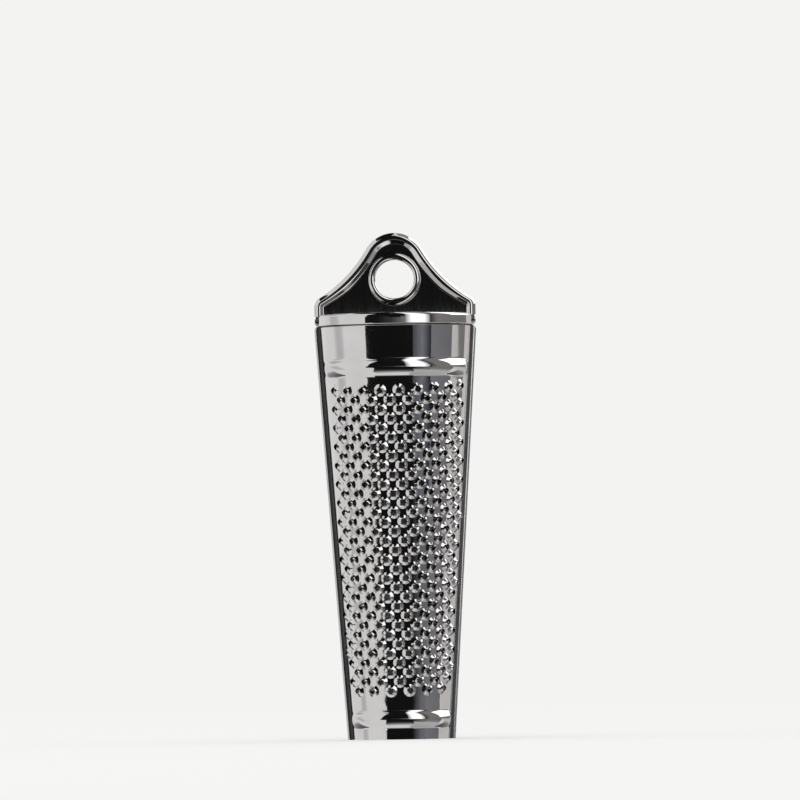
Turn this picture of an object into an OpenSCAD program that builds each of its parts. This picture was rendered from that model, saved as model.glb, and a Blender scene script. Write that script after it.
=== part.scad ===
// Nutmeg grater with a hinged spice compartment, in sheet steel.
// It stands on its open end: +Z is up towards the hanging tab and the teeth face -Y.

/* [Body] */
// Height of the folded body from the open end to the hinge
body_h = 114.4; // [90:0.1:150]
// Outer radius of the half-round front at the open end
front_r_low = 13.4; // [10:0.1:16]
// Outer radius of the half-round front at the hinge end
front_r_high = 20.96; // [18:0.02:24]
// Sheet thickness of every pressed piece
sheet = 0.5; // [0.4:0.05:0.6]
// Width of the folded hems that show from the front
hem_w = 1.4; // [1.3:0.05:2.2]
// Corner radius at the top of the hems
hem_corner_r = 1.2; // [0.4:0.1:1.6]
// Straight mouth of the front above the hems
mouth_h = 2.4; // [1.8:0.1:2.5]
// Inward step of the mouth, so that the lid's skirt stands nearly flush with the front
mouth_neck = 0.4; // [0.2:0.05:0.6]

/* [Beads] */
// Drop from the hinge end of the body to the upper bead's centre line
upper_bead_drop = 12.1; // [10:0.1:20]
// Height of the lower bead's centre line
lower_bead_z = 5.4; // [4:0.1:8]
// Width of a bead along the sheet
bead_w = 4; // [3:0.1:5]
// Height of a bead above the sheet
bead_h = 0.9; // [0.7:0.05:1.1]
// Angle at which the beads stop short of the flanges
bead_end_angle = 16; // [10:0.5:20]

/* [Teeth] */
// Distance between neighbouring teeth in a row
tooth_pitch = 5.18; // [4.4:0.02:6.5]
// Drop from the upper bead to the first row, on the centre line
first_row_drop = 6.2; // [5:0.1:12]
// Least height of the last row above the lower bead, on the centre line
last_row_gap = 7; // [6:0.1:12]
// Sideways offset of the first row from the centre line
first_row_offset = 0.7; // [-2:0.05:2]
// Lean of the tooth columns against the centre line
column_lean = 1.2; // [-3:0.05:3]
// Columns of teeth on each side of the middle one
side_columns = 8; // [4:1:9]
// Plain strip kept along each flange
tooth_margin = 5; // [4.5:0.1:8]
// Outer diameter of the collar that bursts out round each punched hole
tooth_d = 2.4; // [2.1:0.1:2.8]
// Height of a tooth above the sheet
tooth_h = 0.95; // [0.6:0.05:1.2]
// Diameter of the punched hole in each tooth
tooth_hole_d = 1.45; // [1:0.05:1.6]

/* [Compartment] */
// Depth to which the compartment floor enters the bead's groove
floor_seat = 0.55; // [0.3:0.05:0.7]
// Depth of the flange that the floor turns down at the back
floor_flange_h = 5; // [3:0.5:8]
// Clearance round the compartment floor
floor_clear = 0.05; // [0.02:0.01:0.1]

/* [Lid] */
// Height of the lid's skirt
skirt_h = 3.2; // [2.6:0.1:3.4]
// Clearance between the mouth and the skirt
skirt_clear = 0.2; // [0.15:0.05:0.4]
// Outer radius of the edge between cap and skirt
cap_edge_r = 0.9; // [0.7:0.05:1.2]

/* [Hanging tab] */
// Height of the tab above the lid's cap
tab_h = 22.5; // [20:0.1:28]
// Distance of the tab's sides inside the edges of the body
tab_inset = 0.16; // [0:0.02:0.5]
// Radius of the round head of the tab
tab_head_r = 9; // [8.6:0.1:11]
// Radius of the hollow flanks
tab_flank_r = 38; // [30:1:60]
// Width of the rolled border
border_w = 2.6; // [2:0.1:3]
// Radius of the shoulders on the inside of the border
shoulder_inner_r = 0.15; // [0.1:0.05:0.5]
// Height of the tab's straight sides above the lid's cap
tab_side_h = 2.3; // [1:0.1:3]
// Diameter of the hanging hole
hole_d = 10.6; // [6:0.1:10.8]
// Drop from the top of the tab to the hole's centre
hole_drop = 12.8; // [12:0.1:14]
// Width of the rolled collar round the hole
collar_w = 1.9; // [1.4:0.1:2]
// Straight wall of the hole behind the collar
collar_wall = 0.8; // [0.5:0.1:1.2]

/* [Hinge] */
// Diameter of the hinge wire
pin_d = 1.2; // [1:0.05:1.5]
// Radial clearance of the wire in the knuckles
pin_clear = 0.05; // [0.02:0.01:0.1]
// Clearance along the wire under its peened ends
pin_end_clear = 0.05; // [0.02:0.01:0.1]
// Length of each end knuckle on the lid
ear_w = 1.3; // [1:0.05:1.5]
// Gap along the wire between neighbouring knuckles
knuckle_gap = 0.3; // [0.2:0.05:0.5]
// Free space kept round what turns
run_gap = 0.3; // [0.2:0.05:0.4]
// Width of the slit where a curl ends
curl_slit = 0.25; // [0.15:0.05:0.4]
// Thickness of the wire's peened ends
pin_head_t = 0.3; // [0.2:0.05:0.4]
// Diameter of the wire's peened ends
pin_head_d = 1.8; // [1.5:0.05:2]

/* [Hidden] */
$fn = 64;
eps = 0.01;

// Cone of the front: growth of the radius with height, and half-angle
taper = (front_r_high - front_r_low) / body_h;
cone_angle = atan(taper);
front_wall = sheet / cos(cone_angle);
mouth_top = body_h + mouth_h;
upper_bead_z = body_h - upper_bead_drop;
function front_r(z) = front_r_low + taper * z;

// Folded hems: three sheets thick, round on the outer edge
hem_stack = 3 * sheet;
fold_r = hem_stack / 2;
hem_lap = (hem_w + fold_r) / 2;
hem_gap = 0.1;
half_w_low = front_r_low + hem_gap + hem_w;
half_w_high = front_r_high + hem_gap + hem_w;

// Beads: a circle that cuts the sheet over the bead's width
bead_r = (bead_w * bead_w / 4 + bead_h * bead_h) / (2 * bead_h);
bead_sweep = 180 - 2 * bead_end_angle;
bead_end_wall = 1.5;

// Hinge: knuckles tangent to the plane between front and back
tab_w = 2 * (half_w_high - tab_inset);
bore_r = pin_d / 2 + pin_clear;
knuckle_r = bore_r + sheet;
hinge_rise = sqrt(pow(knuckle_r + run_gap, 2) - pow(knuckle_r - sheet, 2));
hinge_z = body_h + hinge_rise;
cap_z = hinge_z + hinge_rise;
cap_top = cap_z + sheet;
ear_out = tab_w / 2 - pin_head_t - pin_end_clear;
ear_in = ear_out - ear_w;
back_knuckle_half = ear_in - knuckle_gap;

// Lid
mouth_r = front_r_high - mouth_neck;
skirt_r_in = mouth_r + skirt_clear;
skirt_r_out = skirt_r_in + sheet;
skirt_bottom = cap_top - skirt_h;
skirt_end = hem_stack - sheet + run_gap;

// Neck of the front, just under the skirt
neck_top = skirt_bottom - run_gap;
neck_bottom = neck_top - 2 * mouth_neck;

// Tab outline: round head, hollow flanks and round shoulders, all tangent
overall_h = cap_top + tab_h;
tab_shoulder_r = border_w + shoulder_inner_r;
head_c = [0, overall_h - tab_head_r];
shoulder_c = [tab_w / 2 - tab_shoulder_r, cap_top + tab_side_h];
head_reach = tab_head_r + tab_flank_r;
shoulder_reach = tab_shoulder_r + tab_flank_r;
across = shoulder_c - head_c;
across_d = norm(across);
along = (pow(head_reach, 2) - pow(shoulder_reach, 2) + pow(across_d, 2)) / (2 * across_d);
aside = sqrt(pow(head_reach, 2) - pow(along, 2));
unit = across / across_d;
flank_c = head_c + along * unit + aside * [-unit[1], unit[0]];
head_angle = atan2(flank_c[1] - head_c[1], flank_c[0] - head_c[0]);
shoulder_angle = atan2(flank_c[1] - shoulder_c[1], flank_c[0] - shoulder_c[0]);
border_r = border_w / 2;
border_lip = 0.1;
panel_inset = border_w - sheet / 2;
ear_root = 2;
hole_c = [0, overall_h - hole_drop];
collar_r = collar_w / 2;
collar_path_r = hole_d / 2 + collar_r;
collar_lift = 0.15;

// The part is centred front to back on its own depth
depth_shift = skirt_r_out / 2 - knuckle_r;

// Tooth field, laid out on the flattened cone and then wrapped: [angle, height] of each tooth
half_pitch = tooth_pitch / 2;
first_row_z = upper_bead_z - first_row_drop;
row_step = half_pitch * cos(column_lean) * cos(cone_angle);
tooth_rows = floor((first_row_z - lower_bead_z - last_row_gap) / row_step) + 1;
slant_ref = front_r(first_row_z) / sin(cone_angle);
function flat_spot(row, col) = [
    first_row_offset + half_pitch * (col * cos(column_lean) + row * sin(column_lean)),
    slant_ref + half_pitch * (col * sin(column_lean) - row * cos(column_lean))
];
function wrapped(spot) = [
    atan2(spot[0], spot[1]) / sin(cone_angle),
    first_row_z + (norm(spot) - slant_ref) * cos(cone_angle)
];
function clear_of_flange(place) = (90 - abs(place[0])) * PI / 180 * front_r(place[1]) > tooth_margin;
teeth = [
    for (row = [0 : tooth_rows - 1])
        for (col = [-side_columns : side_columns])
            if ((row + col) % 2 == 0)
                let (place = wrapped(flat_spot(row, col)))
                    if (clear_of_flange(place)) place
];

// Half of a body of revolution, on the side of the teeth
module front_half(sweep = 180) {
    rotate([0, 0, 270 - sweep / 2]) rotate_extrude(angle = sweep, $fn = 128) children();
}

// Turns a flat drawing upright: its thickness then grows towards the front
module upright() {
    rotate([90, 0, 0]) children();
}

module mirrored() {
    children();
    mirror([1, 0, 0]) children();
}

// Outline of a bead's circle on the front sheet, for a given wall offset
module bead_circle(z, offset_in) {
    translate([front_r(z) + bead_h - bead_r, z]) circle(bead_r - offset_in);
}

// Section of the front sheet: cone, neck and straight mouth
module front_section() {
    polygon([
        [front_r_low - front_wall, 0],
        [front_r_low, 0],
        [front_r(neck_bottom), neck_bottom],
        [mouth_r, neck_top],
        [mouth_r, mouth_top],
        [mouth_r - sheet, mouth_top],
        [mouth_r - sheet, neck_top],
        [front_r(neck_bottom) - front_wall, neck_bottom]
    ]);
}

// Where a tooth stands: turned to the sheet's own normal
module at_tooth(place) {
    translate([0, 0, place[1]])
        rotate([0, 0, place[0]])
            translate([0, -front_r(place[1]), 0])
                rotate([90 + cone_angle, 0, 0]) children();
}

module tooth_collar() {
    translate([0, 0, -sheet / 2]) cylinder(h = tooth_h + sheet / 2, d = tooth_d, $fn = 24);
}

module tooth_hole() {
    translate([0, 0, -2 * sheet]) cylinder(h = tooth_h + 3 * sheet, d = tooth_hole_d, $fn = 24);
}

module bead_wall(z) {
    front_half(bead_sweep) intersection() {
        bead_circle(z, 0);
        translate([front_r(z) - sheet / 2, z - bead_w]) square([bead_w, 2 * bead_w]);
    }
}

module bead_groove(z) {
    front_half(bead_sweep - 2 * bead_end_wall) intersection() {
        bead_circle(z, sheet);
        translate([front_r(z) - 2 * sheet, z - bead_w]) square([bead_w, 2 * bead_w]);
    }
}

// Flat flange along one side of the front, held inside the hem
module front_flange() {
    upright() linear_extrude(sheet) polygon([
        [front_r_low - sheet, 0],
        [half_w_low - fold_r, 0],
        [half_w_high - fold_r, body_h],
        [front_r_high - sheet, body_h]
    ]);
}

module grater_front() {
    color("silver") translate([0, depth_shift, 0]) difference() {
        union() {
            front_half() front_section();
            mirrored() front_flange();
            bead_wall(upper_bead_z);
            bead_wall(lower_bead_z);
            for (place = teeth) at_tooth(place) tooth_collar();
        }
        bead_groove(upper_bead_z);
        bead_groove(lower_bead_z);
        for (place = teeth) at_tooth(place) tooth_hole();
        translate([-front_r_high - 1, -run_gap, body_h + eps])
            cube([2 * front_r_high + 2, 2 * run_gap, mouth_h + 1]);
    }
}

// Curled knuckle on the hinge axis, slit where the curl comes back to its leaf
module knuckle(half_length) {
    rotate([0, 90, 0]) difference() {
        cylinder(h = 2 * half_length, r = knuckle_r, center = true);
        cylinder(h = 2 * half_length + 1, r = bore_r, center = true);
    }
}

// Slit behind the leaf, where the curl ends: side is -1 below the axis, 1 above it
module knuckle_slit(half_length, side) {
    translate([-half_length - eps, sheet - knuckle_r, side > 0 ? 0 : -knuckle_r - eps])
        cube([2 * (half_length + eps), curl_slit, knuckle_r + eps]);
}

// Moves what is drawn round the origin to the hinge axis
module at_hinge() {
    translate([0, knuckle_r, hinge_z]) children();
}

// Right half of the outline that trims the back plate: level ends and round top corners
trim_side = 1;
trim_over = 0.02;
corner_z = body_h - hem_corner_r;
corner_x = half_w_high - (1 + taper) * hem_corner_r;
back_trim_right = concat(
    [[half_w_low + trim_side, 0], [half_w_high + trim_side, corner_z]],
    [
        for (angle = [0 : 15 : 75])
            [corner_x, corner_z] + (hem_corner_r + trim_over) * [cos(angle), sin(angle)]
    ],
    [[corner_x, body_h]]
);
back_trim = concat(
    back_trim_right,
    [for (i = [len(back_trim_right) - 1 : -1 : 0]) [-back_trim_right[i][0], back_trim_right[i][1]]]
);

// Section of a hem: a sheet folded round the flange, outer edge at the origin
module hem_section() {
    difference() {
        union() {
            translate([-fold_r, 0]) circle(fold_r);
            translate([-hem_w, -fold_r]) square([hem_w - fold_r, hem_stack]);
        }
        translate([-fold_r, 0]) circle(sheet / 2);
        translate([-hem_w - 1, -sheet / 2]) square([hem_w + 1 - fold_r, sheet]);
    }
}

// One hem, laid along the tapered side
module hem() {
    translate([half_w_low, -sheet / 2, 0])
        rotate([0, cone_angle, 0])
            translate([0, 0, -hem_w])
                linear_extrude(body_h / cos(cone_angle) + 2 * hem_w) hem_section();
}

module back_sheet() {
    translate([0, sheet, 0]) upright() linear_extrude(sheet) polygon([
        [-half_w_low + hem_lap, 0],
        [half_w_low - hem_lap, 0],
        [half_w_high - hem_lap, body_h],
        [-half_w_high + hem_lap, body_h]
    ]);
}

module back_plate() {
    color("gainsboro") translate([0, depth_shift, 0]) {
        intersection() {
            union() {
                back_sheet();
                mirrored() hem();
            }
            translate([0, hem_stack, 0]) upright() linear_extrude(3 * hem_stack) polygon(back_trim);
        }
        difference() {
            union() {
                at_hinge() knuckle(back_knuckle_half);
                translate([-back_knuckle_half, 0, body_h - eps])
                    cube([2 * back_knuckle_half, sheet, hinge_rise + eps]);
            }
            at_hinge() knuckle_slit(back_knuckle_half, -1);
            at_hinge() rotate([0, 90, 0]) cylinder(h = tab_w, r = bore_r, center = true);
        }
    }
}

// Half-moon outline of the compartment floor, wider where it enters the bead's groove
module floor_outline(wall_r) {
    seat_r = wall_r + floor_seat;
    seat_angle = bead_sweep / 2 - 2 * bead_end_wall;
    reach = 2 * seat_r;
    difference() {
        union() {
            circle(wall_r);
            intersection() {
                circle(seat_r);
                polygon([
                    [0, 0],
                    reach * [sin(seat_angle), -cos(seat_angle)],
                    [reach, -reach],
                    [-reach, -reach],
                    reach * [-sin(seat_angle), -cos(seat_angle)]
                ]);
            }
        }
        translate([-reach, -floor_clear]) square(2 * reach);
    }
}

// Floor of the compartment: its edge sits in the upper bead, its straight side turns down at the back
module compartment_floor() {
    wall_r = front_r(upper_bead_z) - front_wall - floor_clear - taper * sheet;
    flange_half = wall_r - sheet - taper * floor_flange_h;
    color("lightgray") translate([0, depth_shift, upper_bead_z - sheet / 2]) {
        linear_extrude(sheet) floor_outline(wall_r);
        translate([-flange_half, -sheet - floor_clear, -floor_flange_h])
            cube([2 * flange_half, sheet, floor_flange_h + sheet]);
    }
}

// Inside of the tab's outline
module panel_outline() {
    half = tab_w / 2 - panel_inset;
    top_corner = shoulder_c[1] + tab_shoulder_r;
    head_edge = tab_head_r - panel_inset;
    head_touch = head_c + head_edge * [cos(head_angle), sin(head_angle)];
    translate(head_c) circle(head_edge);
    difference() {
        polygon([
            [-half, cap_z],
            [half, cap_z],
            [half, top_corner],
            head_touch,
            [-head_touch[0], head_touch[1]],
            [-half, top_corner]
        ]);
        for (side = [-1, 1])
            translate([side * flank_c[0], flank_c[1]]) circle(tab_flank_r + panel_inset, $fn = 256);
    }
}

// Centre line of the border up the right-hand side: [x, height, angle of the outward normal]
function arc_point(centre, r, angle) = [centre[0] + r * cos(angle), centre[1] + r * sin(angle)];
function border_arc(centre, r, from, to, steps, turn) = [
    for (i = [1 : steps])
        let (angle = from + (to - from) * i / steps)
            concat(arc_point(centre, r, angle + turn), angle)
];
border_side_x = tab_w / 2 - border_r;
border_right = concat(
    [[border_side_x, cap_z + border_lip, 0], [border_side_x, shoulder_c[1], 0]],
    border_arc(shoulder_c, tab_shoulder_r - border_r, 0, shoulder_angle, 5, 0),
    border_arc(flank_c, tab_flank_r + border_r, shoulder_angle, head_angle, 10, 180),
    border_arc(head_c, tab_head_r - border_r, head_angle, 90, 9, 0)
);
border_line = concat(
    border_right,
    [for (i = [len(border_right) - 2 : -1 : 0]) let (p = border_right[i]) [-p[0], p[1], 180 - p[2]]]
);

// Section of the border: [out from the centre line, forward], a half tube open to the back
border_inner_r = border_r - sheet;
border_section = concat(
    [[border_r, -border_lip]],
    [for (angle = [0 : 36 : 180]) border_r * [cos(angle), sin(angle)]],
    [[-border_r, -border_lip], [-border_inner_r, -border_lip]],
    [for (angle = [180 : -36 : 0]) border_inner_r * [cos(angle), sin(angle)]],
    [[border_inner_r, -border_lip]]
);

// The border's section swept along its centre line
module tab_border() {
    n = len(border_section);
    last = len(border_line) - 1;
    points = [
        for (place = border_line)
            for (p = border_section)
                concat(arc_point(place, p[0], place[2]), p[1] - sheet)
    ];
    sides = [
        for (i = [0 : last - 1])
            for (j = [0 : n - 1])
                let (a = i * n + j, b = i * n + (j + 1) % n)
                    each [[a, b, b + n], [a, b + n, a + n]]
    ];
    start_cap = [for (j = [0 : n / 2 - 2]) [n - 1 - j, n - 2 - j, j + 1, j]];
    end_cap = [for (j = [0 : n / 2 - 2]) last * n * [1, 1, 1, 1] + [j, j + 1, n - 2 - j, n - 1 - j]];
    polyhedron(points, concat(sides, start_cap, end_cap), convexity = 6);
}

// Collar of the hanging hole: rolled over at the front, straight wall behind
module hole_collar() {
    translate(hole_c) rotate_extrude($fn = 96) {
        translate([collar_path_r, collar_lift - sheet]) difference() {
            circle(collar_r);
            circle(collar_r - sheet);
            translate([-collar_w, -collar_w]) square([2 * collar_w, collar_w]);
        }
        translate([hole_d / 2, collar_lift - sheet - collar_wall]) square([sheet, collar_wall]);
        translate([collar_path_r + collar_r - sheet, -sheet]) square([sheet, collar_lift]);
    }
}

// Half of a box section with a round upper corner
module soft_corner(w, h, r) {
    square([w - r, h]);
    square([w, h - r]);
    translate([w - r, h - r]) circle(r);
}

module cap_section() {
    translate([0, skirt_bottom]) difference() {
        soft_corner(skirt_r_out, skirt_h, cap_edge_r);
        translate([0, -sheet]) soft_corner(skirt_r_in, skirt_h, cap_edge_r - sheet);
    }
}

// Ear at one end of the lid: the border flattens into a leaf that curls round the wire
module ear() {
    translate([ear_in, 0, hinge_z]) cube([ear_w, sheet, cap_z - hinge_z + eps]);
    translate([tab_w / 2 - border_w + sheet / 2, 0, cap_z])
        cube([border_w - sheet, sheet, ear_root]);
}

module lid() {
    color("whitesmoke") translate([0, depth_shift, 0]) difference() {
        union() {
            difference() {
                front_half() cap_section();
                translate([-skirt_r_out - 1, -skirt_end, skirt_bottom - 1])
                    cube([2 * skirt_r_out + 2, skirt_end + 1, cap_z - skirt_bottom + 1]);
            }
            upright() {
                translate([0, 0, -sheet]) linear_extrude(sheet) difference() {
                    panel_outline();
                    translate(hole_c) circle(collar_path_r + collar_r - sheet / 2);
                }
                tab_border();
                hole_collar();
            }
            mirrored() ear();
            mirrored() translate([ear_in + ear_w / 2, 0, 0]) at_hinge() knuckle(ear_w / 2);
        }
        at_hinge() rotate([0, 90, 0]) cylinder(h = tab_w + 1, r = bore_r, center = true);
        mirrored() translate([ear_in + ear_w / 2, 0, 0]) at_hinge() knuckle_slit(ear_w / 2, 1);
    }
}

// Wire through all knuckles, with flat peened ends
module hinge_pin() {
    color("darkgray") translate([0, depth_shift, 0]) at_hinge() rotate([0, 90, 0]) {
        cylinder(h = tab_w, d = pin_d, center = true);
        for (side = [-1, 1])
            translate([0, 0, side * (tab_w - pin_head_t) / 2])
                cylinder(h = pin_head_t, d = pin_head_d, center = true);
    }
}

grater_front();
back_plate();
compartment_floor();
lid();
hinge_pin();
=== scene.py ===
import bpy
import bmesh
import math
import random
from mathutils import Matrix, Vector


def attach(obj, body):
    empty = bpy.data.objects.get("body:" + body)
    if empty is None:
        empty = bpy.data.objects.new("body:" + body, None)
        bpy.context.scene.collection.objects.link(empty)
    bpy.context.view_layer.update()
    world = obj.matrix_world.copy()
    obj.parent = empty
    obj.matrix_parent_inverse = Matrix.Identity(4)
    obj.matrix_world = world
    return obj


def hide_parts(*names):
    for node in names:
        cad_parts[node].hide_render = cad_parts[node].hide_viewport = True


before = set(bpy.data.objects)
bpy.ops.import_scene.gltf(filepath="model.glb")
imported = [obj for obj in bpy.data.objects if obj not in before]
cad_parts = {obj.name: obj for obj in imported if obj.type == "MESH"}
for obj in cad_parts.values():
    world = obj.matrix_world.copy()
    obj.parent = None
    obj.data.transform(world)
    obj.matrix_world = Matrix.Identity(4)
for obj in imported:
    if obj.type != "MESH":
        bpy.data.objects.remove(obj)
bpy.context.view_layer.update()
mm = 0.001              # the sizes in the dictionaries are millimetres and degrees
depth = 9.48            # the plane between front and back stands this far behind the middle
halfTurnSteps = 96      # steps of the half-round front and lid
mergeDistance = 0.000005
random.seed(7)


# Small helpers
def hexColour(text):    # sRGB hex to linear
    parts = [int(text[i:i + 2], 16) / 255 for i in (1, 3, 5)]
    return tuple(c / 12.92 if c <= 0.04045 else ((c + 0.055) / 1.055) ** 2.4 for c in parts) + (1.0,)


def addNode(tree, kind, inputs=None, **settings):
    node = tree.nodes.new(kind)
    for key, value in settings.items():
        setattr(node, key, value)
    for key, value in (inputs or {}).items():
        if isinstance(value, bpy.types.NodeSocket):
            tree.links.new(value, node.inputs[key])
        else:
            node.inputs[key].default_value = value
    return node


def emptyMaterial(name):
    material = bpy.data.materials.new(name)
    material.use_nodes = True
    material.node_tree.nodes.clear()
    return material, material.node_tree


def shareBetween(value, low, high):     # 0 up to low, 1 from high on
    return min(max((value - low) / (high - low), 0), 1)


def easedShare(value, low, high):
    share = shareBetween(value, low, high)
    return share * share * (3 - 2 * share)


def arcPoints(cx, cy, r, start, end, steps):
    angles = [math.radians(start + (end - start) * i / steps) for i in range(steps + 1)]
    return [(cx + r * math.cos(a), cy + r * math.sin(a)) for a in angles]


def deselectAll():
    if bpy.context.object and bpy.context.object.mode != "OBJECT":
        bpy.ops.object.mode_set(mode="OBJECT")
    bpy.ops.object.select_all(action="DESELECT")


def makeActive(obj):
    deselectAll()
    obj.select_set(True)
    bpy.context.view_layer.objects.active = obj


def editAll(obj, operator, **settings):        # one edit-mode operator on the whole mesh
    makeActive(obj)
    bpy.ops.object.mode_set(mode="EDIT")
    bpy.ops.mesh.select_all(action="SELECT")
    operator(**settings)
    bpy.ops.object.mode_set(mode="OBJECT")


def linkMesh(name, mesh):
    obj = bpy.data.objects.new(name, mesh)
    bpy.context.scene.collection.objects.link(obj)
    makeActive(obj)
    return obj


def chainObject(name, points, closed=False):   # a drawn line to spin
    mesh = bpy.data.meshes.new(name)
    count = len(points)
    edges = [(i, (i + 1) % count) for i in range(count if closed else count - 1)]
    mesh.from_pydata([Vector(p) * mm for p in points], edges, [])
    return linkMesh(name, mesh)


def skinObject(name, rows):                    # rows of points joined by quads
    mesh = bpy.data.meshes.new(name)
    width = len(rows[0])
    faces = []
    for i in range(len(rows) - 1):
        for j in range(width - 1):
            a, b = i * width + j, (i + 1) * width + j
            faces.append((a, a + 1, b + 1, b))
    mesh.from_pydata([Vector(p) * mm for row in rows for p in row], [], faces)
    return linkMesh(name, mesh)


def recalculate(obj):
    editAll(obj, bpy.ops.mesh.remove_doubles, threshold=mergeDistance)
    editAll(obj, bpy.ops.mesh.normals_make_consistent, inside=False)


def spinAround(obj, angle, steps, centre, axis):   # the operator turns clockwise, so the angle is negated
    editAll(obj, bpy.ops.mesh.spin, steps=steps, angle=-angle, center=Vector(centre) * mm, axis=axis)
    recalculate(obj)


def cutAway(obj, point, normal):               # removes what lies on the normal's side
    editAll(obj, bpy.ops.mesh.bisect, plane_co=Vector(point) * mm, plane_no=normal, clear_outer=True,
            threshold=0.000001)


def closeHoles(obj):
    editAll(obj, bpy.ops.mesh.fill_holes, sides=0)
    recalculate(obj)


def bridgeRims(obj):               # joins the rims of the outer and the inner sheet all round
    bm = bmesh.new()
    bm.from_mesh(obj.data)
    edges = {e for e in bm.edges if e.is_boundary}
    rims = []
    while edges:
        rim = list(edges.pop().verts)
        while rim[-1] is not rim[0]:
            step = next(e for e in rim[-1].link_edges if e in edges)
            edges.discard(step)
            rim.append(step.other_vert(rim[-1]))
        rims.append(rim[:-1])
    outer, inner = rims
    start = min(range(len(inner)), key=lambda k: (inner[k].co - outer[0].co).length)
    inner = inner[start:] + inner[:start]
    if (inner[5].co - outer[5].co).length > (inner[-5].co - outer[5].co).length:
        inner = inner[:1] + inner[:0:-1]       # the rims ran opposite ways
    i = j = 0
    while i < len(outer) or j < len(inner):
        a, b = outer[i % len(outer)], inner[j % len(inner)]
        nextA, nextB = outer[(i + 1) % len(outer)], inner[(j + 1) % len(inner)]
        if j == len(inner) or i < len(outer) and (nextA.co - b.co).length < (nextB.co - a.co).length:
            bm.faces.new((a, b, nextA))
            i += 1
        else:
            bm.faces.new((a, b, nextB))
            j += 1
    bm.to_mesh(obj.data)
    bm.free()
    recalculate(obj)


def thicken(obj, thickness):
    makeActive(obj)
    wall = obj.modifiers.new("wall", "SOLIDIFY")
    wall.thickness = thickness * mm
    wall.offset = -1
    wall.use_even_offset = True
    bpy.ops.object.modifier_apply(modifier=wall.name)


def joinAll(name, parts):
    deselectAll()
    for part in parts:
        part.select_set(True)
    bpy.context.view_layer.objects.active = parts[0]
    bpy.ops.object.join()
    parts[0].name = name
    return parts[0]


def finishPiece(obj, name, body, slotName, material, angle, *nodes):
    obj.name = name
    obj.data.name = name
    makeActive(obj)
    bpy.ops.object.shade_smooth_by_angle(angle=math.radians(angle))
    obj.data.materials.clear()
    obj.data.materials.append(material)
    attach(obj, body)
    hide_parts(*nodes)
    print("made", name, len(obj.data.polygons), "faces")


# Stainless sheet, bright-rolled and then buffed: a clear dark-and-light mirror with faint waves of the
# rolled sheet and a breath of haze along the buffing direction. Buffing lines are drawn coarser than real,
# so that they show.
sheetGrain = dict(lineW=0.4, lineRise=0.0006, waveL=9, markW=6)


def buffedSheet(name, tint, haze, wave, stretch):
    material, tree = emptyMaterial(name)
    place = addNode(tree, "ShaderNodeTexCoord").outputs["Object"]
    buffing = addNode(tree, "ShaderNodeMapping", {"Vector": place, "Scale": stretch})
    lines = addNode(tree, "ShaderNodeTexNoise", {
        "Vector": buffing.outputs[0], "Scale": 1 / (sheetGrain["lineW"] * mm), "Detail": 3.0})
    rough = addNode(tree, "ShaderNodeMapRange", {
        "Value": lines.outputs["Fac"], "From Min": 0.3, "From Max": 0.7, "To Min": haze[0], "To Max": haze[1]})
    # waves of the rolled sheet, with the buffing lines on them
    waves = addNode(tree, "ShaderNodeTexNoise", {
        "Vector": place, "Scale": 1 / (sheetGrain["waveL"] * mm), "Detail": 1.0})
    bump = addNode(tree, "ShaderNodeBump", {
        "Height": waves.outputs["Fac"], "Strength": 1.0, "Distance": wave * mm})
    fine = addNode(tree, "ShaderNodeBump", {
        "Height": lines.outputs["Fac"], "Strength": 1.0, "Distance": sheetGrain["lineRise"] * mm,
        "Normal": bump.outputs[0]})
    # handling marks take a little brightness away
    marks = addNode(tree, "ShaderNodeTexNoise", {
        "Vector": place, "Scale": 1 / (sheetGrain["markW"] * mm), "Detail": 4.0})
    shade = addNode(tree, "ShaderNodeMapRange", {
        "Value": marks.outputs["Fac"], "From Min": 0.3, "From Max": 0.75})
    colour = addNode(tree, "ShaderNodeMix", {
        "Factor": shade.outputs[0], "A": hexColour(tint[0]), "B": hexColour(tint[1])}, data_type="RGBA")
    surface = addNode(tree, "ShaderNodeBsdfPrincipled", {
        "Base Color": colour.outputs["Result"], "Metallic": 1.0, "Roughness": rough.outputs[0],
        "Normal": fine.outputs[0]})
    addNode(tree, "ShaderNodeOutputMaterial", {"Surface": surface.outputs[0]})
    return material


buffedSteel = buffedSheet("buffedStainlessSheet", ("#d6d4d3", "#cdcbcb"), (0.03, 0.07), 0.006, (1, 1, 0.08))
plainSteel = buffedSheet("rolledStainlessSheet", ("#c9c9ca", "#bcbcbe"), (0.1, 0.2), 0.008, (1, 1, 0.05))
wireSteel = buffedSheet("drawnStainlessWire", ("#c3c3c4", "#b4b4b6"), (0.12, 0.22), 0.0, (0.05, 1, 1))
print("finishes ready")

# Toothed front: a tapered half-round sheet with two beads, a necked mouth and flat flanges for the hems
front = dict(lowR=13.4, highR=20.96, height=114.4, neckLow=113.98, neckTop=114.26, mouthR=20.56, mouthTop=116.8,
             sheet=0.5, beadLow=5.4, beadHigh=102.3, beadHalf=2.6, beadRise=0.9, beadR=3.26, footSoft=0.1,
             beadEnd=(10, 24), upperSteps=64, lowerSteps=36, hemW=1.4, hemGap=0.1, flangeShort=0.75,
             flangeFront=-0.48, flangeBack=-0.02, fieldEdge=0.05, smoothAngle=29)
taper = (front["highR"] - front["lowR"]) / front["height"]
coneAngle = math.atan(taper)


def coneRadius(z):
    return front["lowR"] + taper * z


def frontRadius(z):
    share = easedShare(z, front["neckLow"], front["neckTop"])
    return coneRadius(min(z, front["height"])) * (1 - share) + front["mouthR"] * share


def beadCurve(away):    # a circle's cap that runs out softly into the sheet
    cap = math.sqrt(front["beadR"] ** 2 - away ** 2) - front["beadR"] + front["beadRise"]
    return (cap + math.hypot(cap, front["footSoft"])) / 2


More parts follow.
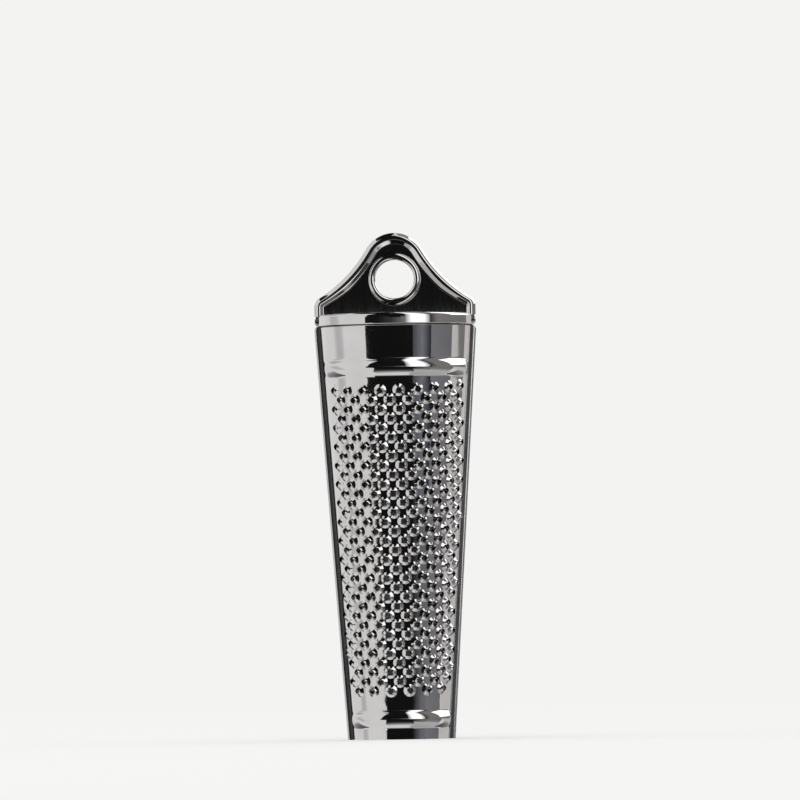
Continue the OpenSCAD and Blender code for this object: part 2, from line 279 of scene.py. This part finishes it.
def beadLift(z):        # rise of the pressed beads over the plain cone
    for centre in (front["beadLow"], front["beadHigh"]):
        if abs(z - centre) < front["beadHalf"]:
            return beadCurve(abs(z - centre)) - beadCurve(front["beadHalf"])
    return 0


def bandProfile(zLow, zHigh, count):
    zs = [zLow + (zHigh - zLow) * i / count for i in range(count + 1)]
    wall = front["sheet"] / math.cos(coneAngle)
    outer = [(frontRadius(z) + beadLift(z), depth, z) for z in zs]
    inner = [(frontRadius(z) - wall + beadLift(z), depth, z) for z in reversed(zs)]
    return outer + inner


def fadeBeads(obj):     # the beads run out just short of the hems
    for v in obj.data.vertices:
        x, y, z = v.co / mm
        lift = beadLift(z)
        if lift > 0:
            fromHem = 90 - math.degrees(math.atan2(abs(x), depth - y + 1e-9))
            r = math.hypot(x, y - depth)
            k = (r - lift * (1 - easedShare(fromHem, *front["beadEnd"]))) / r
            v.co.x, v.co.y = x * k * mm, (depth + (y - depth) * k) * mm


def spunBand(name, zLow, zHigh, count):
    band = chainObject(name, bandProfile(zLow, zHigh, count), closed=True)
    spinAround(band, -math.pi, halfTurnSteps, (0, depth, 0), (0, 0, 1))
    closeHoles(band)
    fadeBeads(band)
    return band


fieldLow, fieldHigh = front["beadLow"] + front["beadHalf"], front["beadHigh"] - front["beadHalf"]
upperBand = spunBand("upperBand", fieldHigh, front["mouthTop"], front["upperSteps"])
lowerBand = spunBand("lowerBand", 0, fieldLow, front["lowerSteps"])
print("front bands spun")

# Teeth: punched from behind on a leaning lattice. The rings of one tooth go from its foot over the torn rim into
# the hole, as radius and rise; the spare rows, columns, angle and heights take in the plain sheet round the teeth
teeth = dict(halfPitch=2.59, rows=33, sideColumns=8, firstZ=96.1, firstAside=0.7, lean=1.2, margin=5.0, corners=12,
             rings=((1.76, 0.0), (1.5, 0.17), (1.2, 0.36), (0.95, 0.55), (0.78, 0.92), (0.68, -0.5)), rimRing=4,
             squareness=0.05, squareFrom=1.3, rimFrom=0.9, sizes=(0.95, 1.04), tip=0.07, petal=0.05, nudge=0.03,
             notchStep=3, notch=0.12, spareRows=(-4, 38), spareColumns=(-15, 16), spareAngle=110, spareZ=(-1, 110))
slantRef = coneRadius(teeth["firstZ"]) / math.sin(coneAngle)
leanCos, leanSin = math.cos(math.radians(teeth["lean"])), math.sin(math.radians(teeth["lean"]))


def flatSpot(row, col):
    h = teeth["halfPitch"]
    return (teeth["firstAside"] + h * (col * leanCos + row * leanSin),
            slantRef + h * (col * leanSin - row * leanCos))


def wrapSpot(x, y):     # flattened cone to angle and height
    return (math.atan2(x, y) / math.sin(coneAngle),
            teeth["firstZ"] + (math.hypot(x, y) - slantRef) * math.cos(coneAngle))


def onCone(x, y, rise):
    angle, z = wrapSpot(x, y)
    r = coneRadius(z) + rise * math.cos(coneAngle)
    return Vector((r * math.sin(angle), depth - r * math.cos(angle), z - rise * math.sin(coneAngle))) * mm


def onTile(spot, x, y, rise):   # a point of a leaning tile
    return onCone(spot[0] + x * leanCos - y * leanSin, spot[1] + x * leanSin + y * leanCos, rise)


def hasTooth(row, col):
    if not 0 <= row < teeth["rows"] or abs(col) > teeth["sideColumns"]:
        return False
    angle, z = wrapSpot(*flatSpot(row, col))
    return (math.pi / 2 - abs(angle)) * coneRadius(z) > teeth["margin"]


def diamond(angle):     # reach of a tile's edge
    return teeth["halfPitch"] / (abs(math.cos(angle)) + abs(math.sin(angle)))


# one tile of the sheet with a burst tooth, modelled flat in millimetres: z is the rise over the sheet
deselectAll()
bpy.ops.mesh.primitive_circle_add(vertices=teeth["corners"], radius=teeth["halfPitch"], fill_type="NOTHING")
tooth = bpy.context.object
bpy.ops.object.mode_set(mode="EDIT")
bpy.ops.mesh.select_all(action="SELECT")
lastR, lastH = teeth["halfPitch"], 0.0
for ringR, ringH in teeth["rings"] + ((teeth["halfPitch"], -front["sheet"]),):
    bpy.ops.mesh.extrude_edges_move(TRANSFORM_OT_translate={"value": (0, 0, ringH - lastH)})
    bpy.ops.transform.resize(value=(ringR / lastR, ringR / lastR, 1))
    lastR, lastH = ringR, ringH
bpy.ops.object.mode_set(mode="OBJECT")
for v in tooth.data.vertices:
    r, angle = math.hypot(v.co.x, v.co.y), math.atan2(v.co.y, v.co.x)
    if abs(r - teeth["halfPitch"]) < 0.01:
        k = diamond(angle) / r
        v.co.x, v.co.y = v.co.x * k, v.co.y * k


def eitherWay(most):
    return random.uniform(-most, most)


def toothTile(bm, row, col):
    start = len(bm.verts)
    bm.from_mesh(tooth.data)
    bm.verts.ensure_lookup_table()
    size = random.uniform(*teeth["sizes"])
    tipX, tipY = eitherWay(teeth["tip"]), eitherWay(teeth["tip"])
    petals = [eitherWay(teeth["petal"]) for _ in range(4)]
    nudges = [eitherWay(teeth["nudge"]) for _ in range(teeth["corners"])]
    rimR = teeth["rings"][teeth["rimRing"]][0]
    for v in bm.verts[start:]:
        x, y, h = v.co
        r, angle = math.hypot(x, y), math.atan2(y, x)
        step = round(angle / (2 * math.pi / teeth["corners"])) % teeth["corners"]
        if r < teeth["squareFrom"]:                 # four-sided, with the corners to the side, top and bottom
            k = 1 + teeth["squareness"] * (2 if r < teeth["rimFrom"] else 1) * math.cos(4 * angle)
            x, y = x * k, y * k
        if abs(r - rimR) < 0.02 and h > 0:          # torn rim, with a notch at the top
            k = 1 + nudges[step]
            h += petals[step // 3] if step != teeth["notchStep"] else -teeth["notch"]
            x, y = x * k, y * k
        if h > 0.01:
            x, y, h = x + tipX * h, y + tipY * h, h * size
        v.co = onTile(flatSpot(row, col), x, y, h)


def plainTile(bm, row, col):   # the same edge points without a tooth
    h = teeth["halfPitch"]
    cuts = [0.0] + [diamond(a) * math.cos(a) / h for a in (math.pi / 3, math.pi / 6)] + [1.0]
    for rise in (0.0, -front["sheet"]):
        grid = [[bm.verts.new(onTile(flatSpot(row, col), h * (a - b), h * (a + b - 1), rise)) for b in cuts]
                for a in cuts]
        for i in range(3):
            for j in range(3):
                loop = [grid[i][j], grid[i + 1][j], grid[i + 1][j + 1], grid[i][j + 1]]
                bm.faces.new(loop if rise == 0 else list(reversed(loop)))


fieldMesh = bpy.data.meshes.new("toothField")
bm = bmesh.new()
toothCount = 0
for row in range(*teeth["spareRows"]):
    for col in range(*teeth["spareColumns"]):
        if (row + col) % 2 == 0:
            angle, z = wrapSpot(*flatSpot(row, col))
            if abs(angle) > math.radians(teeth["spareAngle"]) or not teeth["spareZ"][0] < z < teeth["spareZ"][1]:
                continue
            if hasTooth(row, col):
                toothTile(bm, row, col)
                toothCount += 1
            else:
                plainTile(bm, row, col)
bm.to_mesh(fieldMesh)
bm.free()
bpy.data.objects.remove(tooth)
field = linkMesh("toothField", fieldMesh)
recalculate(field)
cutAway(field, (0, depth - front["fieldEdge"], 0), (0, 1, 0))
cutAway(field, (0, 0, fieldHigh), (0, 0, 1))
cutAway(field, (0, 0, fieldLow), (0, 0, -1))
bridgeRims(field)
print("teeth punched", toothCount)

# flat flanges that go into the hems
flanges = []
for side in (-1, 1):
    deselectAll()
    bpy.ops.mesh.primitive_cube_add(size=1)
    flange = bpy.context.object
    for v in flange.data.vertices:
        z = front["height"] if v.co.z > 0 else 0.0
        inner = coneRadius(z) - front["sheet"]
        outer = coneRadius(z) + front["hemGap"] + front["hemW"] - front["flangeShort"]
        y = depth + front["flangeBack" if v.co.y > 0 else "flangeFront"]
        v.co = Vector((side * (outer if v.co.x > 0 else inner), y, z)) * mm
    recalculate(flange)
    flanges.append(flange)
toothedFront = joinAll("toothedFront", [upperBand, lowerBand, field] + flanges)
finishPiece(toothedFront, "toothedFront", "body", "polished_steel", buffedSteel, front["smoothAngle"],
            "grater_front")

# Back plate with folded hems and the long knuckle
back = dict(foldR=0.75, foldMid=-0.25, bendIn=1.1, flatIn=(2.1, 6.0), sheet=0.5, cornerR=1.2, heightSteps=24,
            hingeY=1.15, hingeZ=115.696, knuckleR=1.15, knuckleHalf=20.35, knuckleLap=0.3, curlEnd=-110,
            curlSteps=34, smoothAngle=35)
hemFace, backFace = back["foldMid"] - back["foldR"], back["foldMid"] + back["foldR"]
hemLine = [(-front["hemW"], hemFace), (-back["bendIn"], hemFace)]     # in from the hem's outside, and backwards
hemLine += arcPoints(-back["foldR"], back["foldMid"], back["foldR"], -90, 90, 16)
hemLine += [(-u, backFace) for u in (back["bendIn"],) + back["flatIn"]]


def hemRow(z):
    half = coneRadius(z) + front["hemGap"] + front["hemW"]
    rise = z - (front["height"] - back["cornerR"])
    inset = back["cornerR"] - math.sqrt(max(back["cornerR"] ** 2 - rise ** 2, 0)) if rise > 0 else 0
    right = [(half + u - inset * shareBetween(u, -front["hemW"], 0), depth + y, z) for u, y in hemLine]
    return right + [(-x, y, z) for x, y, z in reversed(right)]


def curlLine(startZ, endAngle):   # up the back plane and round the hinge wire
    line = [(0, startZ), (0, back["hingeZ"])]
    line += arcPoints(back["hingeY"], back["hingeZ"], back["knuckleR"], 180, endAngle, back["curlSteps"])[1:]
    return line


heights = [front["height"] * i / back["heightSteps"] for i in range(back["heightSteps"])]
heights += [front["height"] - back["cornerR"] * (1 - math.sin(math.radians(a))) for a in range(0, 91, 15)]
plate = skinObject("backPlate", [hemRow(z) for z in heights])
thicken(plate, back["sheet"])

barrel = curlLine(front["height"] - back["knuckleLap"], back["curlEnd"])
knuckle = skinObject("knuckle", [[(x, depth + y, z) for y, z in barrel]
                                 for x in (back["knuckleHalf"], -back["knuckleHalf"])])
thicken(knuckle, back["sheet"])
backPlate = joinAll("backPlate", [plate, knuckle])
finishPiece(backPlate, "backPlate", "body", "polished_steel", plainSteel, back["smoothAngle"], "back_plate")

# Lid: half-moon cap with its skirt, hanging tab and ears
lid = dict(sheet=0.5, skirtOut=21.26, skirtIn=20.76, capTop=117.492, capZ=116.992, skirtLow=114.292, edgeR=0.9,
           insideR=0.4, lipR=0.25, lipTop=0.28, capRings=(0, 6, 12, 17), skirtRings=(116.0, 115.2), skirtEnd=1.3,
           roomW=60, roomH=10, tabW=44.6, top=139.992, headR=9.0, flankR=38.0, borderW=2.6, shoulderR=2.75,
           shoulderZ=119.792, shoulderDrop=0.8, tabLap=0.1, broadLow=121.8, broadHigh=125.8, inside=(0.93, 1.4),
           holeR=5.3, holeZ=127.192, collarW=1.9, collarWall=0.8, collarFront=-0.35, collarFoot=1.0,
           collarFootR=0.25, collarSteps=72, panelInset=0.25, earIn=20.65, earOut=21.95, earLap=1.6, earEnd=470,
           smoothAngle=35)

capLine = [(r, lid["capTop"]) for r in lid["capRings"]]
capLine += arcPoints(lid["skirtOut"] - lid["edgeR"], lid["capTop"] - lid["edgeR"], lid["edgeR"], 90, 0, 8)
capLine += [(lid["skirtOut"], z) for z in lid["skirtRings"] + (lid["skirtLow"] + lid["lipTop"],)]
capLine += arcPoints((lid["skirtIn"] + lid["skirtOut"]) / 2, lid["skirtLow"] + lid["lipR"], lid["lipR"], 0, -180, 6)
capLine += [(lid["skirtIn"], z) for z in reversed(lid["skirtRings"])]
capLine += arcPoints(lid["skirtIn"] - lid["insideR"], lid["capZ"] - lid["insideR"], lid["insideR"], 0, 90, 5)
capLine += [(r, lid["capZ"]) for r in reversed(lid["capRings"])]
cap = chainObject("cap", [(r, depth, z) for r, z in capLine])
spinAround(cap, -math.pi, halfTurnSteps, (0, depth, 0), (0, 0, 1))
closeHoles(cap)
deselectAll()
bpy.ops.mesh.primitive_cube_add(size=1)
hemRoom = bpy.context.object      # the skirt stops short of the hems
for v in hemRoom.data.vertices:
    y = depth + 1 if v.co.y > 0 else depth - lid["skirtEnd"]
    v.co = Vector((lid["roomW"] * v.co.x, y, lid["capZ"] + lid["roomH"] * (v.co.z - 0.5))) * mm
makeActive(cap)
room = cap.modifiers.new("room", "BOOLEAN")
room.object = hemRoom
room.operation = "DIFFERENCE"
room.solver = "EXACT"
bpy.ops.object.modifier_apply(modifier=room.name)
bpy.data.objects.remove(hemRoom)
print("lid cap spun")

# outline of the tab: the head's circle, a hollow flank and a small shoulder that touch each other
headC = (0.0, lid["top"] - lid["headR"])
shoulderC = (lid["tabW"] / 2 - lid["shoulderR"], lid["shoulderZ"])
dx, dz = shoulderC[0] - headC[0], shoulderC[1] - headC[1]
span = math.hypot(dx, dz)
headReach, shoulderReach = lid["headR"] + lid["flankR"], lid["shoulderR"] + lid["flankR"]
along = (headReach ** 2 - shoulderReach ** 2 + span ** 2) / (2 * span)
aside = math.sqrt(headReach ** 2 - along ** 2)
flankC = (headC[0] + along * dx / span - aside * dz / span, headC[1] + along * dz / span + aside * dx / span)
headAngle = math.degrees(math.atan2(flankC[1] - headC[1], flankC[0] - headC[0]))
shoulderAngle = math.degrees(math.atan2(flankC[1] - shoulderC[1], flankC[0] - shoulderC[0]))
borderR = lid["borderW"] / 2


def borderStations():   # centre line of the rolled border: x, height, direction of the outside
    sideX = lid["tabW"] / 2 - borderR
    right = [(sideX, lid["capZ"] + lid["tabLap"], 0.0), (sideX, shoulderC[1] - lid["shoulderDrop"], 0.0)]
    for count, centre, r, start, end, turn in (
            (10, shoulderC, lid["shoulderR"] - borderR, 0, shoulderAngle, 0),
            (24, flankC, lid["flankR"] + borderR, shoulderAngle, headAngle, 180),
            (22, headC, lid["headR"] - borderR, headAngle, 90, 0)):
        for i in range(0 if start == 0 else 1, count + 1):
            angle = start + (end - start) * i / count
            a = math.radians(angle + turn)
            right.append((centre[0] + r * math.cos(a), centre[1] + r * math.sin(a), angle))
    return right + [(-x, z, 180 - a) for x, z, a in reversed(right[:-1])]


# section of the border, a rib with sloped sides: out from its centre line, and forward of the panel; above the
# shoulders its inner half is broader
rib = dict(edgeBack=-0.6, edgeMid=-0.42, edgeR=0.35, crest=-0.02, crestR=0.8, slopes=(45, 48), foot=-1.42, footR=0.42)
borderLine = [(borderR, rib["edgeBack"]), (borderR, rib["edgeMid"])]
borderLine += arcPoints(borderR - rib["edgeR"], rib["edgeMid"], rib["edgeR"], 0, rib["slopes"][0], 4)[1:]
borderLine += arcPoints(rib["crest"], 0.0, rib["crestR"], rib["slopes"][0], 90 + rib["slopes"][1], 9)
borderLine += arcPoints(rib["foot"], rib["footR"], rib["footR"], 270 + rib["slopes"][1], 270, 5)
rows = []
for x, z, angle in borderStations():
    ca, sa = math.cos(math.radians(angle)), math.sin(math.radians(angle))
    share = shareBetween(z, lid["broadLow"], lid["broadHigh"])
    grow = lid["inside"][0] + (lid["inside"][1] - lid["inside"][0]) * share
    section = [(u * grow if u < 0 else u, f) for u, f in borderLine]
    rows.append([(x + u * ca, depth - f, z + u * sa) for u, f in section])
border = skinObject("tabBorder", rows)

# the hole's collar, spun round the hole
collarR = lid["collarW"] / 2
collarMid = lid["holeR"] + collarR
collarLine = [(lid["holeR"], lid["collarFront"] - lid["collarWall"]), (lid["holeR"], lid["collarFront"])]
collarLine += arcPoints(collarMid, lid["collarFront"], collarR, 180, 34, 14)[1:]
collarLine += arcPoints(collarMid + lid["collarFoot"], lid["collarFootR"], lid["collarFootR"], 214, 270, 4)
collar = chainObject("holeCollar", [(r, depth - f, lid["holeZ"]) for r, f in collarLine])
spinAround(collar, 2 * math.pi, lid["collarSteps"], (0, depth, lid["holeZ"]), (0, 1, 0))

# the flat panel between border and collar
panelMesh = bpy.data.meshes.new("tabPanel")
bm = bmesh.new()
outerLoop = [bm.verts.new(Vector(row[-1]) * mm) for row in rows]
ringR = collarLine[-1][0]
ringAngles = [2 * math.pi * i / lid["collarSteps"] for i in range(lid["collarSteps"])]
holeLoop = [bm.verts.new(Vector((ringR * math.cos(a), depth, lid["holeZ"] + ringR * math.sin(a))) * mm)
            for a in ringAngles]
edges = [bm.edges.new((loop[i], loop[(i + 1) % len(loop)])) for loop in (outerLoop, holeLoop)
         for i in range(len(loop))]
bmesh.ops.triangle_fill(bm, use_beauty=True, use_dissolve=False, edges=edges)
bm.to_mesh(panelMesh)
bm.free()
panel = linkMesh("tabPanel", panelMesh)
# the inset keeps the shading of the panel flat
editAll(panel, bpy.ops.mesh.inset, thickness=lid["panelInset"] * mm, use_even_offset=False)
tab = joinAll("hangingTab", [border, collar, panel])
recalculate(tab)
tab.data.update()
flatFace = max(tab.data.polygons, key=lambda p: p.area)
if flatFace.normal.y > 0:
    tab.data.flip_normals()
thicken(tab, lid["sheet"])

ears = []
for side in (-1, 1):
    curl = curlLine(lid["capZ"] + lid["earLap"], lid["earEnd"])
    ends = sorted((side * lid["earIn"], side * lid["earOut"]))
    ears.append(skinObject("ear", [[(x, depth + y, z) for y, z in curl] for x in ends]))
    thicken(ears[-1], lid["sheet"])
lidPressing = joinAll("lidPressing", [cap, tab] + ears)
finishPiece(lidPressing, "lidPressing", "lid", "polished_steel", buffedSteel, lid["smoothAngle"], "lid")

# Hinge wire with peened ends: points of the peened dome are in from the end, and radius
wire = dict(r=0.6, half=22.3, headR=0.9, headT=0.3, dome=((0, 0), (0, 0.5), (0.06, 0.76), (0.16, 0.88)), steps=24,
            smoothAngle=35)
wireLine = [(-wire["half"] + x, r) for x, r in wire["dome"]]
wireLine += [(-wire["half"] + wire["headT"], r) for r in (wire["headR"], wire["r"])]
wireLine += [(-x, r) for x, r in reversed(wireLine)]
wireY = depth + back["hingeY"]
hingeWire = chainObject("hingeWire", [(x, wireY + r, back["hingeZ"]) for x, r in wireLine])
spinAround(hingeWire, 2 * math.pi, wire["steps"], (0, wireY, back["hingeZ"]), (1, 0, 0))
finishPiece(hingeWire, "hingeWire", "body", "steel_wire", wireSteel, wire["smoothAngle"], "hinge_pin")

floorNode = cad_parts["compartment_floor"]
floorNode.data.materials.clear()
floorNode.data.materials.append(plainSteel)

# Studio: a pale floor, soft light, and cards that only the steel mirrors
studio = dict(paper="#f3f3f2", floorSize=60, world=1.0, cardR=6000, cardZ=60, cardSteps=30)

deselectAll()
bpy.ops.mesh.primitive_plane_add(size=studio["floorSize"], location=(0, 0, 0))
ground = bpy.context.object
ground.name = "studioFloor"
ground.visible_glossy = False
paper, paperTree = emptyMaterial("matPaper")
matte = addNode(paperTree, "ShaderNodeBsdfDiffuse", {"Color": hexColour(studio["paper"])})
addNode(paperTree, "ShaderNodeOutputMaterial", {"Surface": matte.outputs[0]})
ground.data.materials.append(paper)


def toneAt(tones, share):
    place = share * (len(tones) - 1)
    low = min(int(place), max(len(tones) - 2, 0))
    a, b = hexColour(tones[low]), hexColour(tones[min(low + 1, len(tones) - 1)])
    return [p + (q - p) * (place - low) for p, q in zip(a, b)]


def emissive(obj, colours, strength):   # colours: one tone per point
    obj.data.color_attributes.new("tone", "FLOAT_COLOR", "POINT").data.foreach_set("color", colours)
    material, tree = emptyMaterial(obj.name)
    seen = addNode(tree, "ShaderNodeAttribute", attribute_name="tone")
    glow = addNode(tree, "ShaderNodeEmission", {"Color": seen.outputs["Color"], "Strength": strength})
    addNode(tree, "ShaderNodeOutputMaterial", {"Surface": glow.outputs[0]})
    obj.data.materials.append(material)
    obj.visible_camera = False
    obj.visible_diffuse = False
    obj.visible_shadow = False


def card(name, strength, rows):   # rows: elevation, first and last azimuth, tones across
    grid, colours = [], []
    for i in range(studio["cardSteps"] + 1):
        line, share = [], i / studio["cardSteps"]
        for elevation, start, end, tones in rows:
            e, az = math.radians(elevation), math.radians(start + (end - start) * i / studio["cardSteps"])
            level = studio["cardR"] * math.cos(e)
            line.append((level * math.sin(az), -level * math.cos(az),
                         studio["cardZ"] + studio["cardR"] * math.sin(e)))
            colours += toneAt(tones, share)
        grid.append(line)
    emissive(skinObject(name, grid), colours, strength)


def straight(start, end, *steps):   # rows between two azimuths: elevation and tones of each
    return [(elevation, start, end, tones) for elevation, tones in steps]


black, white = ["#171717"], ["#ffffff"]
skirtTones = ["#1a1a1a", "#1a1a1a", "#404040", "#888888"]
boxTones = ["#707070", "#ffffff", "#ffffff", "#ffffff", "#707070"]
slate = ["#50525a", "#80828b", "#222228"]
fieldTones = ["#1c1c20", "#55555a", "#77777c", "#7c7c80"]
greyTones = ["#303034", "#8a8888", "#878585", "#858383"]
lowGrey = ["#85858a", "#7c7c80"]
topGrey = ["#9a9a9c"]
gapTones = ["#e4e3e4", "#d0cfd2", "#d0cfd2", "#e4e3e4"]
backTones = ["#dcdad8", "#c9c7c5"]
card("blackLow", 1.0, [(-62, -46, 40, ["#f0f0f0"]), (-50, -44, 36, ["#b0b0b0"]), (-38, -40, 32, ["#585858"]),
                       (-26, -36, 30, ["#202020"]), (-16, -34, 27, black), (-8.7, -34, 27, black),
                       (-5.3, -47, 27, black), (-2, -47, 27, black)])
card("skirtStrip", 1.0, straight(-46, 15, (-2, skirtTones), (5, skirtTones)))
card("blackHigh", 1.0, [(5, -44, 15, black), (56, -40, 15, black)])
card("slateLow", 1.0, straight(27, 57, (-30, ["#909094"]), (-14, fieldTones), (-6.6, fieldTones), (-5.9, slate),
                               (-2, slate)))
card("greyLow", 1.0, straight(57, 98, (-30, ["#b0b0b0"]), (-14, lowGrey), (-2, lowGrey)))
card("greyMiddle", 1.0, straight(54, 93, (-2, greyTones), (62, greyTones)))
card("greySide", 1.0, straight(93, 135, (-2, greyTones[3:]), (9, greyTones[3:])))
card("boxRight", 1.7, straight(15, 54, (-2, boxTones), (80, boxTones)))
card("boxSide", 2.0, straight(94, 150, (9, white), (62, white)))
card("greyTop", 1.0, straight(54, 150, (62, topGrey), (82, topGrey)))
card("lowerRight", 1.0, [(-75, 40, 110, ["#b8b8b8"]), (-30, 32, 110, ["#cccccc"])])
card("darkTop", 1.0, straight(-180, 15, (56, ["#1a1a1a"]), (64, black), (86, black)))
card("backTop", 1.0, straight(150, 205, (20, ["#58585c"]), (56, ["#404044"])))
card("rightBack", 1.0, straight(98, 180, (-14, backTones), (-2, backTones)))
card("rightBackHigh", 1.0, straight(135, 180, (-2, backTones), (12, backTones)))
card("leftGap", 1.0, [(-12, -101, -83, gapTones), (-4, -105, -87, gapTones), (2, -117, -93, gapTones),
                      (12, -120, -96, gapTones)])
card("backUnder", 1.0, straight(112, 248, (-70, ["#58585c"]), (-34, ["#68686c"]), (-22, ["#9c9c9e"]),
                                (-14, ["#dcdad8"])))
card("leftOver", 1.0, [(24, -155, -118, ["#cacaca"]), (50, -145, -108, ["#c4c4c4"])])

# a small black card close to the tab keeps its panel dark
nearCard = dict(half=45, y=-300, low=126.4, high=230)
tabCard = skinObject("tabCard", [[(x, nearCard["y"], z) for z in (nearCard["low"], nearCard["high"])]
                                 for x in (-nearCard["half"], nearCard["half"])])
emissive(tabCard, toneAt(black, 0) * 4, 1.0)

# the paper's colour is what the camera and the steel see; the rest is lit evenly
world = bpy.data.worlds.new("studioWorld")
bpy.context.scene.world = world
world.use_nodes = True
tree = world.node_tree
tree.nodes.clear()
path = addNode(tree, "ShaderNodeLightPath")
seen = addNode(tree, "ShaderNodeMath", {0: path.outputs["Is Camera Ray"], 1: path.outputs["Is Glossy Ray"]},
               operation="MAXIMUM")
tone = addNode(tree, "ShaderNodeMix", {"Factor": seen.outputs[0], "A": (studio["world"],) * 3 + (1,),
                                       "B": hexColour(studio["paper"])}, data_type="RGBA")
sky = addNode(tree, "ShaderNodeBackground", {"Color": tone.outputs["Result"], "Strength": 1.0})
addNode(tree, "ShaderNodeOutputWorld", {"Surface": sky.outputs[0]})

softbox = dict(width=0.9, height=1.2, energy=1.2, place=(-1.2, -0.7, 1.3), aim=(0, 0, 0.06))   # in metres
key = bpy.data.lights.new("keySoftbox", "AREA")
key.shape = "RECTANGLE"
key.size, key.size_y, key.energy = softbox["width"], softbox["height"], softbox["energy"]
keyObj = bpy.data.objects.new("keySoftbox", key)
keyObj.location = softbox["place"]
keyObj.rotation_euler = (Vector(softbox["aim"]) - keyObj.location).to_track_quat("-Z", "Y").to_euler()
keyObj.visible_glossy = False
bpy.context.scene.collection.objects.link(keyObj)
print("studio ready")

# Camera: a long lens a little below the middle of the grater, rolled as in the picture; in metres
cameraSet = dict(distance=3.0, height=0.025, aim=(0.001, 0.0, 0.0935), width=0.2205, roll=0.93, sensor=36, far=100)
camData = bpy.data.cameras.new("camera")
camData.sensor_width = cameraSet["sensor"]
camData.lens = cameraSet["sensor"] * cameraSet["distance"] / cameraSet["width"]
camData.clip_end = cameraSet["far"]
camera = bpy.data.objects.new("camera", camData)
camera.location = (cameraSet["aim"][0], -cameraSet["distance"], cameraSet["height"])
look = (Vector(cameraSet["aim"]) - camera.location).to_track_quat("-Z", "Y").to_euler()
look.rotate_axis("Z", math.radians(-cameraSet["roll"]))
camera.rotation_euler = look
bpy.context.scene.collection.objects.link(camera)
bpy.context.scene.camera = camera
bpy.context.scene.view_settings.view_transform = "Standard"
